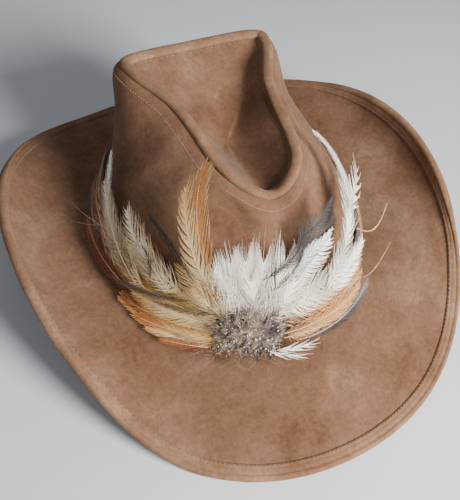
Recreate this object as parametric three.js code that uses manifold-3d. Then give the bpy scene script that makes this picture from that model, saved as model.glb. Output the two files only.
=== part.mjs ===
// Suede western hat with a lift-off feather band. Millimetres, +Z up, front of the hat towards -Y.
// Angles go round the crown in degrees from the front, positive towards the wearer's left (+X).
import * as THREE from 'three';
import { mergeVertices } from 'three/addons/utils/BufferGeometryUtils.js';
import Module from 'manifold-3d';

const wasm = await Module();
wasm.setup();

// Driving dimensions
const crownCentre = { x: -2.65, y: 5.9 };   // the brim's own outline is centred on the origin
const headHalfWidth = 95.5;
const headHalfLength = 105;
const headHeight = 21;                      // brim's middle surface at the head line
const suede = 1.3;                          // suede thickness
const buckram = 0.9;                        // stiffener thickness
const gap = 0.35;                           // clearance between touching pieces
const brimTuck = 3;                         // how far the brim reaches in under the crown wall
const bindingWidth = 13;
const wireRadius = 1.1;
const dentDepth = 11;
const sections = 40;                        // steps round the hat
const crownWallSteps = 7;

const suedeBrown = 0x7a5b41;
const bindingBrown = 0x87674c;

const hat = new THREE.Group();
const featherBand = new THREE.Group();
hat.add(featherBand);

const radians = THREE.MathUtils.degToRad;
const lerp = THREE.MathUtils.lerp;
const smoothstep = THREE.MathUtils.smoothstep;

function add(group, name, geometry, color, roughness, metalness = 0) {
  const mesh = new THREE.Mesh(geometry, new THREE.MeshStandardMaterial({ color, roughness, metalness }));
  mesh.name = name;
  group.add(mesh);
}

// A ring of cloth: its closed profile, in surface units, turned round by a lathe and then laid on a
// surface. Profile x is the place across the surface (0 at its outer or lower edge), y the height off it.
const lathePole = 100;
function ring(profile, place, steps = sections) {
  const closed = [...profile, profile[0]];
  const turned = new THREE.LatheGeometry(closed.map(([x, y]) => new THREE.Vector2(lathePole + x, y)), steps);
  return lay(splitAlike(turned, closed, steps), place, lathePole);
}

// A disc of cloth, the same way, with its middle on the lathe's axis.
function disc(profile, place, steps = sections) {
  const turned = new THREE.LatheGeometry(profile.map(([x, y]) => new THREE.Vector2(x, y)), steps);
  return lay(splitAlike(turned, profile, steps), place, 0);
}

// Splits the four-cornered faces where the profile runs back along the other diagonal, so that both
// sides of a sheet, and sheets that lie on each other, bend along the same lines.
function splitAlike(geometry, profile, steps) {
  const index = [];
  for (let turn = 0; turn < steps; turn++) {
    for (let i = 0; i + 1 < profile.length; i++) {
      const a = turn * profile.length + i;
      const b = a + profile.length;
      const runsBack = profile[i + 1][0] < profile[i][0];
      if (runsBack) index.push(a, b, b + 1, a, b + 1, a + 1);
      else index.push(a, b, a + 1, b + 1, a + 1, b);
    }
  }
  geometry.setIndex(index);
  return geometry;
}

function lay(geometry, place, pole) {
  const position = geometry.attributes.position;
  for (let i = 0; i < position.count; i++) {
    const across = Math.hypot(position.getX(i), position.getZ(i)) - pole;
    const angle = Math.atan2(position.getX(i), position.getZ(i));
    const point = place(angle, across, position.getY(i));
    position.setXYZ(i, point.x, point.y, point.z);
  }
  return facingOut(geometry);
}

function manifoldOf(geometry) {
  const plain = new THREE.BufferGeometry();
  plain.setAttribute('position', geometry.attributes.position);
  if (geometry.index) plain.setIndex(geometry.index);
  const merged = mergeVertices(plain, 1e-4);
  const mesh = new wasm.Mesh({
    numProp: 3,
    vertProperties: new Float32Array(merged.attributes.position.array),
    triVerts: new Uint32Array(merged.index.array),
  });
  return new wasm.Manifold(mesh);
}

function geometryOf(manifold) {
  const mesh = manifold.getMesh();
  const geometry = new THREE.BufferGeometry();
  geometry.setAttribute('position', new THREE.BufferAttribute(mesh.vertProperties, 3));
  geometry.setIndex(new THREE.BufferAttribute(mesh.triVerts, 1));
  return geometry;
}

// Turns a closed mesh's faces outwards if its profile ran the other way round.
function facingOut(geometry) {
  const position = geometry.attributes.position;
  const corner = [0, 1, 2].map(() => new THREE.Vector3());
  let volume = 0;
  for (let i = 0; i < geometry.index.count; i += 3) {
    corner.forEach((point, k) => point.fromBufferAttribute(position, geometry.index.getX(i + k)));
    volume += corner[0].dot(corner[1].clone().cross(corner[2])) / 6;
  }
  if (volume < 0) {
    const index = geometry.index.array;
    for (let i = 0; i < index.length; i += 3) [index[i], index[i + 1]] = [index[i + 1], index[i]];
  }
  return geometry;
}

// A surface's unit normal, from two short steps across it.
function normalOf(surface, angle, across, step) {
  const a = surface(angle + 0.01, across).sub(surface(angle - 0.01, across));
  const b = surface(angle, across + step).sub(surface(angle, across - step));
  return a.cross(b).normalize();
}

function bezier(p0, p1, p2, p3, t) {
  const s = 1 - t;
  return new THREE.Vector3()
    .addScaledVector(p0, s * s * s)
    .addScaledVector(p1, 3 * s * s * t)
    .addScaledVector(p2, 3 * s * t * t)
    .addScaledVector(p3, t * t * t);
}

// The head line: where the crown meets the brim, an oval.
function headLine(angle, height = headHeight) {
  return new THREE.Vector3(
    crownCentre.x + headHalfWidth * Math.sin(angle),
    crownCentre.y + 3 - headHalfLength * Math.cos(angle),
    height,
  );
}

// The brim's outer edge: a long oval, low at front and back, curled up at the sides and a little
// higher on the wearer's left.
function brimEdge(angle) {
  const s = (n) => Math.sin(n * angle);
  const c = (n) => Math.cos(n * angle);
  const wave = 22.3 - 7.3 * c(1) - 30.8 * c(2) + 7.4 * c(3) + 5.1 * c(4) + 3.5 * s(1) + 1.2 * s(2);
  return new THREE.Vector3(
    167.5 * s(1) - 3 * s(2) + 0.8 * s(3) - c(1) - 3.1 * c(2) - 3.1,
    -0.9 - 193.1 * c(1) + 0.9 * c(2) + 5.3 * c(3),
    2.55 + (wave + Math.hypot(wave, 1.5)) / 2,
  );
}

// The brim's middle surface: nearly level at the head line, curling up towards a high edge.
// Place 0 is the head line and 1 the edge.
function brimSurface(angle, place) {
  const inner = headLine(angle);
  const outer = brimEdge(angle);
  const rise = outer.z - inner.z;
  const curl = smoothstep(rise, 0, 45);
  const near = new THREE.Vector3().lerpVectors(inner, outer, 0.4).setZ(inner.z + 0.12 * rise);
  const far = new THREE.Vector3().lerpVectors(inner, outer, 0.74 + 0.27 * curl);
  far.z = inner.z + (0.72 - 0.5 * curl) * rise;
  return bezier(inner, near, far, outer, place);
}

function brimWidth(angle) {
  let width = 0;
  let last = brimSurface(angle, 0);
  for (let i = 1; i <= 12; i++) {
    const next = brimSurface(angle, i / 12);
    width += next.distanceTo(last);
    last = next;
  }
  return width;
}

// A point of the brim, `reach` mm out from the head line and `off` mm above the middle surface.
// A reach beyond the brim's width is counted from the edge.
function onBrim(angle, reach, off) {
  const place = reach / brimWidth(angle);
  const down = normalOf(brimSurface, angle, Math.min(place, 0.99), 0.01);
  return brimSurface(angle, place).addScaledVector(down, -off);
}

// The rim of the crease, pinched at the front and with two raised corners at the back:
// half of it, every 22.5 degrees from the front, round the crown's centre.
const rimHalf = [
  [0, -40.5, 98.5], [12, -39.5, 104], [25, -27.5, 111], [31.5, -7, 115], [33.5, 12, 119],
  [39, 40, 125], [54, 70, 130.5], [50, 86.5, 129.5], [0, 91.5, 127],
];
const rimOther = rimHalf.slice(1, -1).reverse().map(([x, y, z]) => [-x, y, z]);
const rimCurve = new THREE.CatmullRomCurve3(
  [...rimHalf, ...rimOther].map(([x, y, z]) => new THREE.Vector3(x + crownCentre.x, y + crownCentre.y, z)),
  true,
  'catmullrom',
  0.5,
);

function rim(angle) {
  const turn = angle / (2 * Math.PI);
  return rimCurve.getPoint(turn - Math.floor(turn));
}

// At a place on the rim: the rim's point, the level direction out of the crown, and the way up.
function rimFrame(angle) {
  const along = rim(angle + 0.06).sub(rim(angle - 0.06)).normalize();
  const out = new THREE.Vector3(along.y, -along.x, 0).normalize();
  const up = out.clone().cross(along).normalize();
  return { point: rim(angle), out, up };
}

const weltRadius = 3.3;
const weltClear = weltRadius + gap;

// The crown's outer shape: upright at the head line, sloping in to a round shoulder at the rim.
// Place 0 is the head line and 1 the rim.
function crownShape(angle, place) {
  const base = headLine(angle);
  const { point, out, up } = rimFrame(angle);
  const top = point.clone().addScaledVector(out, weltClear).addScaledVector(up, -1);
  const shoulder = top.clone().addScaledVector(out, 12).addScaledVector(up, -5);
  const upright = base.clone().setZ(lerp(base.z, top.z, 0.5));
  return bezier(base, upright, shoulder, top, place);
}

// The crown's wall: that shape with a finger dent on each side of the front.
function crownWall(angle, place) {
  const fromFront = Math.abs(Math.atan2(Math.sin(angle), Math.cos(angle)));
  const fromDent = (fromFront - radians(38)) / radians(17);
  const upDent = (place - 0.66) / 0.17;
  const depth = dentDepth * Math.exp(-fromDent * fromDent - upDent * upDent);
  return crownShape(angle, place).addScaledVector(rimFrame(angle).out, -depth);
}

// A point of the crown's wall, `off` mm outside it.
function onWall(angle, place, off) {
  const outward = normalOf(crownWall, angle, place, 0.01);
  return crownWall(angle, place).addScaledVector(outward, off);
}

// The sunken tip: a smooth bowl hung from the rim, steep at its near sides and rising steadily to
// the back corners. Place 0 is its middle and 1 the rim.
const bowlFloor = new THREE.Vector3(crownCentre.x, crownCentre.y + 24, 88);

function tipSurface(angle, place) {
  const { point, out, up } = rimFrame(angle);
  const edge = point.clone().addScaledVector(out, -weltClear).addScaledVector(up, -1);
  const lip = edge.clone().addScaledVector(out, -7).addScaledVector(up, -3.5);
  const far = smoothstep(Math.hypot(edge.x - bowlFloor.x, edge.y - bowlFloor.y), 35, 85);
  const slope = new THREE.Vector3().lerpVectors(bowlFloor, edge, 0.5);
  slope.z = bowlFloor.z + 2 + 0.45 * far * (edge.z - bowlFloor.z);
  return bezier(bowlFloor, slope, lip, edge, place);
}

function onTip(angle, place, off) {
  if (place < 1e-4) return bowlFloor.clone().setZ(bowlFloor.z + off);
  const down = normalOf(tipSurface, angle, Math.max(place, 0.03), 0.01);
  return tipSurface(angle, place).addScaledVector(down, -off);
}

// Profile of a sheet from place a to b, between two heights off its surface.
function sheetProfile(a, b, low, high, steps) {
  const places = Array.from({ length: steps + 1 }, (_, i) => lerp(a, b, i / steps));
  return [...places.map((p) => [p, low]), ...places.reverse().map((p) => [p, high])];
}

function discProfile(edge, low, high, steps) {
  const places = Array.from({ length: steps + 1 }, (_, i) => (edge * i) / steps);
  return [...places.map((p) => [p, low]), ...places.reverse().map((p) => [p, high])];
}

// Profile of a round cord, centred at (x, y).
function cordProfile(x, y, radius, sides) {
  return Array.from({ length: sides }, (_, i) => {
    const turn = (2 * Math.PI * (i + 0.5)) / sides;
    return [x + radius * Math.cos(turn), y + radius * Math.sin(turn)];
  });
}

// Profile of a strip folded round a cord: an arc, and on each side a leg that runs `legs` mm from the
// cord's middle, point by point. The strip is open towards `facing`.
function foldProfile(radius, thickness, legs, facing, sides) {
  const side = (r, turn, leg) => [
    r * Math.cos(turn) + leg * Math.cos(facing),
    r * Math.sin(turn) + leg * Math.sin(facing),
  ];
  const face = (r) => [
    ...legs.toReversed().map((leg) => side(r, facing + Math.PI / 2, leg)),
    ...Array.from({ length: sides + 1 }, (_, i) => side(r, facing + Math.PI * (0.5 + i / sides), 0)),
    ...legs.map((leg) => side(r, facing - Math.PI / 2, leg)),
  ];
  return [...face(radius + thickness), ...face(radius).reverse()];
}

// Crown: suede side and tip, each backed by buckram, with a corded welt over their joint
const wallFoot = 0.03;
const wallTop = 1;
const wallInner = -suede - gap;
add(hat, 'crown_side', ring(sheetProfile(wallFoot, wallTop, -suede, 0, crownWallSteps), onWall), suedeBrown, 0.95);
add(
  hat,
  'crown_stiffener',
  ring(sheetProfile(wallFoot, wallTop, wallInner - buckram, wallInner, crownWallSteps), onWall),
  0xcbbf9f,
  0.9,
);
add(hat, 'crown_tip', disc(discProfile(1, 0, -suede, 4), onTip), suedeBrown, 0.95);
add(
  hat,
  'tip_stiffener',
  disc(discProfile(1, wallInner - 0.3, wallInner - 0.3 - buckram, 4), onTip),
  0xcbbf9f,
  0.9,
);

// Lining: a thin side band and a disc under the sunken tip
const liningOut = wallInner - buckram - 0.6;
const liningIn = liningOut - 0.5;
const liningTop = lerp(wallFoot, wallTop, 6 / crownWallSteps);
const liningRows = sheetProfile(wallFoot, liningTop, liningIn, liningOut, crownWallSteps - 1);
add(hat, 'lining_side', ring(liningRows, onWall), 0x4a3a30, 0.5);
add(hat, 'lining_tip', disc(discProfile(0.8, liningOut - 2, liningIn - 2, 4), onTip), 0x4a3a30, 0.5);

// Sweatband: a leather strip inside the head line, with its reed, its bow and a plain size tab
const sweatOut = liningIn - gap;
const sweatIn = sweatOut - 1.3;
const sweatPlaces = [-0.025, wallFoot, ...[1, 2, 3].map((i) => lerp(wallFoot, wallTop, i / crownWallSteps))];
const sweatProfile = [
  ...sweatPlaces.map((place) => [place, sweatIn]),
  ...sweatPlaces.toReversed().map((place) => [place, sweatOut]),
];
add(hat, 'sweatband', ring(sweatProfile, onWall), 0x5d3f2a, 0.55);

const reedRadius = 1.1;
const reedHeight = headHeight - 6;

function onReed(angle, inward, upward) {
  const outward = normalOf(crownWall, angle, 0, 0.01);
  return headLine(angle, reedHeight + upward).addScaledVector(outward, (sweatIn + sweatOut) / 2 + inward);
}
add(hat, 'sweatband_reed', ring(cordProfile(0, 0, reedRadius, 6), onReed), 0xb9ad94, 0.6);

const backInside = headLine(Math.PI).y + sweatIn;
const bowShape = new THREE.Shape();
bowShape.moveTo(-8, -4);
bowShape.lineTo(-1.5, -1.2);
bowShape.lineTo(1.5, -1.2);
bowShape.lineTo(8, -4);
bowShape.lineTo(8, 4);
bowShape.lineTo(1.5, 1.2);
bowShape.lineTo(-1.5, 1.2);
bowShape.lineTo(-8, 4);
const bow = new THREE.ExtrudeGeometry(bowShape, { depth: 1.2, bevelEnabled: false });
bow.rotateX(Math.PI / 2).translate(crownCentre.x, backInside - 1, headHeight + 9);
add(hat, 'sweatband_bow', bow, 0x33261d, 0.5);
const tab = new THREE.BoxGeometry(18, 0.5, 9).translate(crownCentre.x, backInside - 2.4, headHeight + 20);
add(hat, 'size_tab', tab, 0xd9d2c3, 0.7);

function onRim(angle, outward, upward) {
  const { point, out, up } = rimFrame(angle);
  return point.addScaledVector(out, outward).addScaledVector(up, upward);
}

const weltCord = 1.9;
const weltProfile = foldProfile(weltCord + gap, 1.05, [1.2], -Math.PI / 2, 6);
add(hat, 'tip_welt', ring(weltProfile, onRim), 0x8f6f55, 0.9);
add(hat, 'welt_cord', ring(cordProfile(0, 0, weltCord, 6), onRim), 0xd8cfb8, 0.9);

// Brim: two suedes on a stiffener, wired and bound at the edge
const brimMiddle = buckram / 2;
const brimFace = brimMiddle + gap;
const brimTop = brimFace + suede;
const edgeInset = wireRadius + 2 * gap + 1.1;

const bindingMiddle = 7;

// The brim's sheets by station: 0 is the tuck under the crown, and the last three are the binding's
// inner edge, its middle and the sheets' own edge.
function fromHead(angle, station, off) {
  const width = brimWidth(angle);
  const flat = width - bindingWidth;
  const reaches = [
    -brimTuck,
    0.3 * flat,
    0.58 * flat,
    0.8 * flat,
    flat,
    width - bindingMiddle,
    width - edgeInset,
  ];
  return onBrim(angle, reaches[Math.round(station)], off);
}

const brimLayers = [
  ['brim_top', brimFace, brimTop, suedeBrown],
  ['brim_stiffener', -brimMiddle, brimMiddle, 0xcbbf9f],
  ['brim_under', -brimTop, -brimFace, 0x6e5139],
];
for (const [name, low, high, color] of brimLayers) {
  add(hat, name, ring(sheetProfile(0, 6, low, high, 6), fromHead), color, 0.95);
}

// The edge in its own section: x out past the wire's centre, y up from the brim's middle surface.
function onEdge(angle, outward, upward) {
  return onBrim(angle, brimWidth(angle) - wireRadius - gap + outward, upward);
}

const legs = [edgeInset, bindingMiddle, bindingWidth].map((reach) => reach - wireRadius - gap);
const bindingProfile = foldProfile(brimTop + gap, 1, legs, Math.PI, 6);
const binding = manifoldOf(ring(bindingProfile, onEdge));
const floorCut = manifoldOf(new THREE.BoxGeometry(500, 500, 20).translate(0, 0, -10));
add(hat, 'brim_binding', geometryOf(binding.subtract(floorCut)), bindingBrown, 0.9);
add(hat, 'brim_wire', ring(cordProfile(0, 0, wireRadius, 6), onEdge), 0x8c8f92, 0.4, 0.9);

// Feather band: a felt strip round the foot of the crown, a keeper tab over its joint at the back, and
// feathers in layers. Each feather is a thin blade laid on the crown's shape, between a root and a tip
// that are each given as an angle and a height above the head line. Its tip may curl off the crown.
function placeAtHeight(angle, height) {
  let low = -0.1;
  let high = 1;
  for (let i = 0; i < 20; i++) {
    const middle = (low + high) / 2;
    if (crownShape(angle, middle).z < headHeight + height) low = middle;
    else high = middle;
  }
  return low;
}

function onCrown(angle, height, off) {
  const place = placeAtHeight(angle, height);
  const outward = normalOf(crownShape, angle, place, 0.01);
  return crownShape(angle, place).addScaledVector(outward, off);
}

const feltOff = 2.6;
const felt = 1.6;
const feltRows = [5, 19, 33];
const feltProfile = [
  ...feltRows.map((height) => [height, feltOff]),
  ...feltRows.toReversed().map((height) => [height, feltOff + felt]),
];
add(featherBand, 'band_backing', ring(feltProfile, onCrown), 0x3d2d22, 0.95);

const keeper = new THREE.BoxGeometry(14, 1.2, 26);
keeper.translate(crownCentre.x, headLine(Math.PI).y + feltOff + felt + 1.2, headHeight + 19);
add(featherBand, 'band_keeper', keeper, 0x6b4d38, 0.9);

const firstLayer = feltOff + felt + 0.9;
const layerPitch = 1.7;
const bladeThickness = 1;

// A blade over the crown, `width` across at its middle.
function blade(root, tip, width, thickness, off, curl) {
  const sideways = radians(tip[0] - root[0]) * headHalfLength;
  const upwards = tip[1] - root[1];
  const length = Math.hypot(sideways, upwards);
  const shape = new THREE.SphereGeometry(1, 6, 6);
  const position = shape.attributes.position;
  for (let i = 0; i < position.count; i++) {
    const along = (1 + position.getY(i)) / 2;
    const across = (position.getX(i) * width) / 2 / length;
    const point = onCrown(
      radians(root[0]) + (along * sideways + across * upwards) / headHalfLength,
      root[1] + along * upwards - across * sideways,
      off + (position.getZ(i) * thickness) / 2 + curl * along ** 2,
    );
    position.setXYZ(i, point.x, point.y, point.z);
  }
  return facingOut(shape);
}

function feather(name, color, layer, root, tip, width, curl = 0) {
  const off = firstLayer + layer * layerPitch;
  add(featherBand, name, blade(root, tip, width, bladeThickness, off, curl), color, 0.8);
}

const cream = 0xe6dcc6;
const white = 0xefece4;
const ginger = 0xc08a55;
const peach = 0xd9a679;
const olive = 0xa98b4e;
const rust = 0x9c5530;
const brown = 0x4a3426;
const black = 0x2a2724;
const grey = 0x8b8680;

feather('feather_ginger_upright', ginger, 5, [-36, 34], [-59, 90], 22);
feather('feather_cream_behind', cream, 2, [-33, 30], [-56, 72], 22);
feather('feather_fan_left', white, 4, [-25, 26], [-38, 56], 22);
feather('feather_fan_middle', white, 3, [-22, 26], [-22, 58], 22);
feather('feather_fan_right', white, 5, [-18, 26], [-6, 54], 20);
feather('feather_black_right', black, 4, [-18, 46], [28, 71], 13);
feather('feather_white_right', white, 3, [-14, 36], [36, 41], 20);
feather('feather_plume_right', white, 2, [28, 52], [52, 74], 16);
feather('feather_long_right', white, 5, [30, 50], [60, 92], 12);
feather('feather_peach_upper', peach, 2, [-16, 26], [34, 21], 16);
feather('feather_peach_lower', peach, 5, [-12, 16], [28, 18], 14);
feather('feather_grey_right', grey, 3, [0, 8], [36, 10], 10);
feather('feather_spikes_low', white, 2, [-16, 9], [0, 6], 8);
feather('feather_wisp_upper', peach, 6, [34, 52], [58, 36], 4, 12);
feather('feather_wisp_lower', peach, 6, [30, 22], [50, 20], 4, 12);
feather('feather_olive_upper', olive, 3, [-34, 26], [-78, 22], 18);
feather('feather_olive_lower', olive, 4, [-32, 16], [-72, 9], 13);
feather('feather_rust_low', rust, 5, [-28, 8], [-54, 6], 8);
feather('feather_brown_left', brown, 6, [-46, 33], [-77, 16], 8);
feather('feather_cream_left', cream, 4, [-56, 30], [-84, 52], 18);
feather('feather_black_left', black, 3, [-46, 45], [-72, 61], 5);
feather('feather_plume_left_high', cream, 4, [-80, 22], [-111, 68], 13);
feather('feather_plume_left_mid', white, 5, [-68, 25], [-102, 53], 18);
feather('feather_rust_left', rust, 3, [-68, 12], [-106, 12], 14);

// Shingled feathers round both sides to the back, three layers deep
const sideCount = 6;
const sideTurn = 31;                        // degrees round from root to tip
const sideRoot = 14;
const sideTip = 38;
for (let i = 0; i < sideCount; i++) {
  const color = [rust, cream, brown][i % 3];
  const start = 40 + 17.6 * i;
  const other = -start - 12;
  feather(`feather_side_left_${i + 1}`, color, i % 3, [start, sideRoot], [start + sideTurn, sideTip], 18);
  feather(`feather_side_right_${i + 1}`, color, i % 3, [other, sideRoot], [other - sideTurn, sideTip], 18);
}

// The round pad of speckled feathers over the roots at the front
const pad = blade([-38, 20], [-9, 20], 30, 5, firstLayer + 6 * layerPitch + 2.6, 0);
add(featherBand, 'speckled_pad', pad, grey, 0.7);

export default hat;
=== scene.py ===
"""A brown suede western hat with a feather band, dressed over its CAD frame."""
import math
import random

import bmesh
import bpy
from mathutils import Matrix, Vector, noise


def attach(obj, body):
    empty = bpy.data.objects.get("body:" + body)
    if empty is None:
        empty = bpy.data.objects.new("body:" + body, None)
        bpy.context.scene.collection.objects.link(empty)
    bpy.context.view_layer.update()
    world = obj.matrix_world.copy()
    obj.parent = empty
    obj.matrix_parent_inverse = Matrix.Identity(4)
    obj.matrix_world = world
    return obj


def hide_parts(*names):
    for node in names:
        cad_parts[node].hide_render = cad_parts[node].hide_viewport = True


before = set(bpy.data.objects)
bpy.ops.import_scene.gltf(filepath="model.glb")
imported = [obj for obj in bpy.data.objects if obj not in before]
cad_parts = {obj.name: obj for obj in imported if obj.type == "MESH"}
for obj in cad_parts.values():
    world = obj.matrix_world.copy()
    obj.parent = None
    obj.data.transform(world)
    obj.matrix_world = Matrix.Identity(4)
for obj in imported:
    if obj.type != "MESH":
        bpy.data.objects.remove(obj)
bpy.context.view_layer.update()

# --- Studio -------------------------------------------------------------------------------------
# A pale floor, a soft key from the front, a cool fill, a faint warm back light and a dim room. The
# camera stands above the wearer's front right and is rolled a little to its side.

scene = bpy.context.scene

camera_place = Vector((-0.2068, -0.2711, 0.4192))
camera_back = Vector((-0.3775, -0.5010, 0.7788)).normalized()
camera_right = Vector((0.8750, -0.4683, 0.1229)).normalized()
camera_up = camera_back.cross(camera_right)
camera_data = bpy.data.cameras.new("camera")
camera_data.lens = 47.98
camera_data.sensor_width = 36
camera = bpy.data.objects.new("camera", camera_data)
axes = Matrix((camera_right, camera_up, camera_back)).transposed().to_4x4()
camera.matrix_world = Matrix.Translation(camera_place) @ axes
scene.collection.objects.link(camera)
scene.camera = camera


def area_light(name, place, target, size, power, colour):
    data = bpy.data.lights.new(name, "AREA")
    data.shape = "DISK"
    data.size = size
    data.energy = power
    data.color = colour
    light = bpy.data.objects.new(name, data)
    light.location = place
    light.rotation_euler = (Vector(target) - Vector(place)).to_track_quat("-Z", "Y").to_euler()
    scene.collection.objects.link(light)


area_light("key", (0.28, -0.8, 0.56), (0, -0.03, 0.04), 0.45, 31, (1.0, 0.97, 0.94))
area_light("fill", (-0.9, -0.3, 0.8), (0, 0, 0.05), 1.0, 2.8, (0.9, 0.94, 1.0))
area_light("back", (0.3, 0.9, 0.9), (0, 0, 0.08), 0.9, 1.6, (1.0, 0.94, 0.88))

room = bpy.data.worlds.new("room")
room.use_nodes = True
room.node_tree.nodes["Background"].inputs["Color"].default_value = (0.62, 0.66, 0.72, 1)
room.node_tree.nodes["Background"].inputs["Strength"].default_value = 0.25
scene.world = room

bpy.ops.mesh.primitive_plane_add(size=6)
floor = bpy.context.object
floor.name = "floor"
floor_paint = bpy.data.materials.new("floor_paint")
floor_paint.use_nodes = True
floor_shader = floor_paint.node_tree.nodes["Principled BSDF"]
floor_shader.inputs["Base Color"].default_value = (0.55, 0.57, 0.60, 1)
floor_shader.inputs["Roughness"].default_value = 0.9
floor.data.materials.append(floor_paint)

# --- Brim: upper and under suede ----------------------------------------------------------------
# Two ovals of brown split suede with the nap outside, glued to a buckram between them. The brim
# lies low at the front and back and is steamed up into a curl at each side.

MM = 0.001
crown_x, crown_y = -2.65, 5.9
head_half_width, head_half_length = 95.5, 105
head_height = 21
suede_off_middle = 1.9
hidden_under_crown, hidden_in_binding = 3, 4


def bezier(p0, p1, p2, p3, t):
    s = 1 - t
    return p0 * s**3 + p1 * (3 * s * s * t) + p2 * (3 * s * t * t) + p3 * t**3


def smooth(value, low, high):
    t = min(max((value - low) / (high - low), 0), 1)
    return t * t * (3 - 2 * t)


def head_line(angle):
    """The oval where crown and brim meet; the angle runs from the front to the wearer's left."""
    x = crown_x + head_half_width * math.sin(angle)
    return Vector((x, crown_y + 3 - head_half_length * math.cos(angle), head_height))


def brim_edge(angle):
    s = [math.sin(n * angle) for n in range(4)]
    c = [math.cos(n * angle) for n in range(5)]
    wave = 22.3 - 7.3 * c[1] - 30.8 * c[2] + 7.4 * c[3] + 5.1 * c[4] + 3.5 * s[1] + 1.2 * s[2]
    return Vector((
        167.5 * s[1] - 3 * s[2] + 0.8 * s[3] - c[1] - 3.1 * c[2] - 3.1,
        -0.9 - 193.1 * c[1] + 0.9 * c[2] + 5.3 * c[3],
        2.55 + (wave + math.hypot(wave, 1.5)) / 2,
    ))


def brim_surface(angle, place):
    """The brim's middle: place 0 is the head line, 1 the edge."""
    inner, outer = head_line(angle), brim_edge(angle)
    rise = outer.z - inner.z
    curl = smooth(rise, 0, 45)
    near = inner.lerp(outer, 0.4)
    near.z = inner.z + 0.12 * rise
    far = inner.lerp(outer, 0.74 + 0.27 * curl)
    far.z = inner.z + (0.72 - 0.5 * curl) * rise
    return bezier(inner, near, far, outer, place)


def normal_of(surface, angle, place):
    across = surface(angle, place + 0.01) - surface(angle, place - 0.01)
    round_it = surface(angle + 0.01, place) - surface(angle - 0.01, place)
    return round_it.cross(across).normalized()


def brim_width(angle):
    places = [brim_surface(angle, i / 12) for i in range(13)]
    return sum((b - a).length for a, b in zip(places, places[1:]))


def on_brim(angle, reach, off):
    """A point `reach` mm out from the head line and `off` mm above the brim's middle."""
    place = reach / brim_width(angle)
    down = normal_of(brim_surface, angle, min(place, 0.99))
    return brim_surface(angle, place) - down * off


def cloth(name, place, around, across, thickness=0.0, smooth_shaded=True):
    """A sheet laid on `place(u, v)`, both 0 to 1; u goes once round the hat."""
    sheet = bmesh.new()
    sheet.loops.layers.uv.new("UVMap")
    bmesh.ops.create_grid(sheet, x_segments=around, y_segments=across, size=0.5, calc_uvs=True)
    for vert in sheet.verts:
        vert.co = place(vert.co.x + 0.5, vert.co.y + 0.5) * MM
    bmesh.ops.remove_doubles(sheet, verts=sheet.verts, dist=2e-6)
    bmesh.ops.recalc_face_normals(sheet, faces=sheet.faces)
    return finished(name, sheet, thickness, smooth_shaded)


def finished(name, sheet, thickness=0.0, smooth_shaded=True):
    mesh = bpy.data.meshes.new(name)
    sheet.to_mesh(mesh)
    sheet.free()
    mesh.polygons.foreach_set("use_smooth", [smooth_shaded] * len(mesh.polygons))
    piece = bpy.data.objects.new(name, mesh)
    scene.collection.objects.link(piece)
    if thickness:
        shell = piece.modifiers.new("thickness", "SOLIDIFY")
        shell.thickness = abs(thickness) * MM
        shell.offset = math.copysign(1, thickness)
    return piece


class Wire:
    """One output socket of a shader tree, with arithmetic on it."""

    def __init__(self, tree, socket):
        self.tree = tree
        self.socket = socket

    def node(self, kind, inputs, output=0, **settings):
        made = self.tree.nodes.new(kind)
        for setting, value in settings.items():
            setattr(made, setting, value)
        for name, value in inputs.items():
            if isinstance(value, Wire):
                self.tree.links.new(value.socket, made.inputs[name])
            else:
                made.inputs[name].default_value = value
        return Wire(self.tree, made.outputs[output])

    def maths(self, operation, *values):
        return self.node("ShaderNodeMath", dict(enumerate(values)), operation=operation)

    def __add__(self, other):
        return self.maths("ADD", self, other)

    def __radd__(self, other):
        return self.maths("ADD", other, self)

    def __sub__(self, other):
        return self.maths("SUBTRACT", self, other)

    def __rsub__(self, other):
        return self.maths("SUBTRACT", other, self)

    def __mul__(self, other):
        return self.maths("MULTIPLY", self, other)

    def __rmul__(self, other):
        return self.maths("MULTIPLY", other, self)

    def ramp(self, low, high):
        """0 below `low`, 1 above `high`, smooth between."""
        limits = {"Value": self, "From Min": low, "From Max": high}
        return self.node("ShaderNodeMapRange", limits, interpolation_type="SMOOTHSTEP")

    def mix(self, dark, light):
        return self.node("ShaderNodeMix", {0: self, 6: dark, 7: light}, 2, data_type="RGBA")

    def noise(self, scale, detail=4, roughness=0.55, distortion=0.0):
        values = {"Vector": self, "Scale": scale, "Detail": detail,
                  "Roughness": roughness, "Distortion": distortion}
        return self.node("ShaderNodeTexNoise", values)


def colour(red, green, blue):
    """A colour as seen on a screen, 0 to 255, turned to linear light."""
    return (*[(c / 255) ** 2.2 for c in (red, green, blue)], 1)


def material(name, roughness, **constants):
    """A new material: itself, its shader, and wires for object and UV coordinates."""
    made = bpy.data.materials.new(name)
    made.use_nodes = True
    tree = made.node_tree
    shader = tree.nodes["Principled BSDF"]
    shader.inputs["Roughness"].default_value = roughness
    for socket, value in constants.items():
        shader.inputs[socket.replace("_", " ")].default_value = value
    coordinates = tree.nodes.new("ShaderNodeTexCoord").outputs
    return made, shader, Wire(tree, coordinates["Object"]), Wire(tree, coordinates["UV"])


def feed(shader, socket, wire):
    wire.tree.links.new(wire.socket, shader.inputs[socket])


def bump(shader, height, strength, depth):
    values = {"Height": height, "Strength": strength, "Distance": depth}
    feed(shader, "Normal", height.node("ShaderNodeBump", values))


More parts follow.
